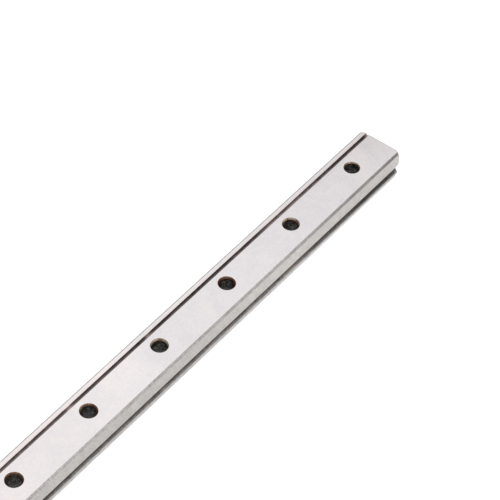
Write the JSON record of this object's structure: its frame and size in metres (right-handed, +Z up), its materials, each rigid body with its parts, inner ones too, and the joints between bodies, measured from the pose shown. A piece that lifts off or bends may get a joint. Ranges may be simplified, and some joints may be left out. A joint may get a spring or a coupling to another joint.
{
  "type": "miniature linear guide rail",
  "caption": "Miniature linear guide rail: a ground steel bar with a ball groove along each side, counterbored screw holes down its middle and a datum slot in its mounting face.",
  "frame": {"origin": "middle of the rail's running head, on the surface that it lies on", "axes": "+X along the rail, +Y towards the datum side with the slot, +Z up out of the mounting face"},
  "size_m": [0.25, 0.012, 0.008],
  "materials": {
    "ground_steel": "fine ground, bare steel with a thin film of oil"
  },
  "bodies": {
    "root": {"guide_rail": "ground_steel"}
  },
  "joints": []
}
